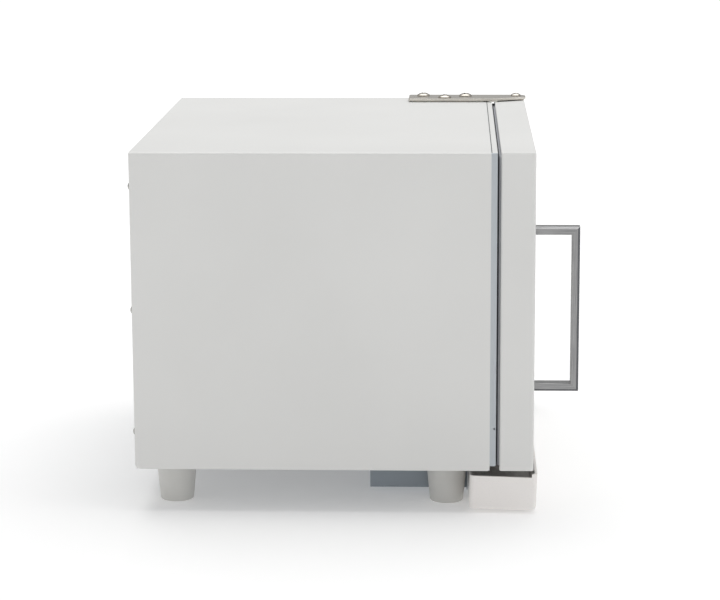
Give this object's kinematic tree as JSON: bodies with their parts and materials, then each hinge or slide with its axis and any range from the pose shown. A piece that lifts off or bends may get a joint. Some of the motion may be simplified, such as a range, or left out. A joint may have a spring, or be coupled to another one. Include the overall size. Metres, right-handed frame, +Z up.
{
  "type": "benchtop autoclave",
  "caption": "Bench steam steriliser: sheet-metal cabinet on conical feet, side-hinged door with bar handle and bayonet lock, round chamber with trays, drip tray underneath.",
  "frame": {"origin": "middle of the overall footprint, on the surface the feet stand on", "axes": "+Z up, -Y towards the front (door side), +X to the right seen from the front"},
  "size_m": [0.47, 0.443, 0.3694],
  "materials": {
    "white_paint": "satin powder coat",
    "grey_paint": "satin blue-grey coat",
    "zinc_sheet": "zinc-plated sheet",
    "screw_steel": "plated",
    "hinge_nickel": "satin nickel",
    "brass_bush": "machined",
    "washer_nylon": "moulded nylon",
    "foot_plastic": "moulded, fine texture",
    "tray_plastic": "moulded, semi-gloss",
    "stainless": "brushed stainless",
    "ring_steel": "machined",
    "silicone": "silicone",
    "seal_rubber": "moulded lip",
    "heater_mica": "mica in steel",
    "insulation_felt": "needled felt",
    "tank_plastic": "natural polypropylene",
    "black_plastic": "fine texture",
    "motor_metal": "satin",
    "magnet_metal": "nickel plated",
    "circuit_board": "solder mask",
    "knob_red": "moulded",
    "handle_steel": "brushed along the bar",
    "bezel_plastic": "fine texture",
    "window_smoke": "polished",
    "key_plastic": "soft touch"
  },
  "bodies": {
    "cabinet": {"air_filter": "black_plastic", "base_pan": "zinc_sheet", "catch_magnets": "magnet_metal", "chamber_flange": "stainless", "chamber_gasket": "silicone", "chamber_saddle": "zinc_sheet", "chamber_vessel": "stainless", "condenser_coil": "brass_bush", "controller_board": "circuit_board", "drain_housing": "grey_paint", "fan_housing": "black_plastic", "foot_front_left": "foot_plastic", "foot_front_right": "foot_plastic", "foot_rear_left": "foot_plastic", "foot_rear_right": "foot_plastic", "foot_screws": "screw_steel", "front_frame": "grey_paint", "heater_band": "heater_mica", "hinge_plate_bottom": "hinge_nickel", "hinge_plate_top": "hinge_nickel", "hinge_screws": "hinge_nickel", "hinge_shims": "washer_nylon", "insulation_jacket": "insulation_felt", "lock_motor": "motor_metal", "outer_wrap": "white_paint", "pivot_screws": "hinge_nickel", "power_inlet": "black_plastic", "power_supply": "motor_metal", "rear_panel": "zinc_sheet", "rear_screws": "screw_steel", "safety_valve": "brass_bush", "solenoid_valves": "black_plastic", "steam_pipes": "brass_bush", "tray_lower": "stainless", "tray_rack": "stainless", "tray_upper": "stainless", "water_pump": "black_plastic", "water_reservoir": "tank_plastic"},
    "door": {"door_shell": "white_paint", "door_liner": "zinc_sheet", "door_beam": "zinc_sheet", "door_insulation": "insulation_felt", "pressure_plate": "stainless", "door_seal": "seal_rubber", "handle": "handle_steel", "handle_screws": "screw_steel", "hinge_bushes": "brass_bush", "control_bezel": "bezel_plastic", "display_window": "window_smoke", "display_board": "circuit_board"},
    "locking_ring": {"locking_ring": "ring_steel"},
    "lock_pinion": {"lock_pinion": "brass_bush"},
    "fan_rotor": {"fan_rotor": "black_plastic"},
    "safety_knob": {"safety_valve_knob": "knob_red"},
    "rocker": {"power_rocker": "black_plastic"},
    "filler_cap": {"filler_cap": "black_plastic"},
    "drip_tray": {"drip_tray": "tray_plastic"},
    "key_program": {"key_program": "key_plastic"},
    "key_start": {"key_start": "key_plastic"},
    "key_stop": {"key_stop": "key_plastic"}
  },
  "joints": [
    {"name": "door_hinge", "type": "hinge", "parent": "cabinet", "child": "door", "pos_m": [0.221, -0.1677, 0.203], "axis": [0, 0, 1], "range_deg": [0, 110]},
    {"name": "lock_turn", "type": "hinge", "parent": "cabinet", "child": "locking_ring", "pos_m": [0, -0.1374, 0.203], "axis": [0, -1, 0], "range_deg": [0, 22.5]},
    {"name": "pinion_spin", "type": "hinge", "parent": "cabinet", "child": "lock_pinion", "pos_m": [0.158, -0.1374, 0.203], "axis": [0, -1, 0], "range_deg": [-275, 0]},
    {"name": "fan_spin", "type": "hinge", "parent": "cabinet", "child": "fan_rotor", "pos_m": [0.183, 0.2049, 0.094], "axis": [0, 1, 0], "continuous": true},
    {"name": "valve_pull", "type": "slide", "parent": "cabinet", "child": "safety_knob", "axis": [0, 1, 0], "range_m": [0, 0.003], "stiffness_N_per_m": 800},
    {"name": "switch_rock", "type": "hinge", "parent": "cabinet", "child": "rocker", "pos_m": [-0.127, 0.2153, 0.09], "axis": [1, 0, 0], "range_deg": [-16, 0]},
    {"name": "cap_turn", "type": "hinge", "parent": "cabinet", "child": "filler_cap", "pos_m": [-0.191, -0.1387, 0.316], "axis": [0, -1, 0], "range_deg": [0, 90]},
    {"name": "tray_slide", "type": "slide", "parent": "cabinet", "child": "drip_tray", "axis": [0, -1, 0], "range_m": [0, 0.055]},
    {"name": "key_program_press", "type": "slide", "parent": "door", "child": "key_program", "axis": [0, 1, 0], "range_m": [0, 0.001], "stiffness_N_per_m": 600},
    {"name": "key_start_press", "type": "slide", "parent": "door", "child": "key_start", "axis": [0, 1, 0], "range_m": [0, 0.001], "stiffness_N_per_m": 600},
    {"name": "key_stop_press", "type": "slide", "parent": "door", "child": "key_stop", "axis": [0, 1, 0], "range_m": [0, 0.001], "stiffness_N_per_m": 600}
  ],
  "couplings": [
    {"joint": "pinion_spin", "follows": "lock_turn", "ratio": -12.167}
  ]
}
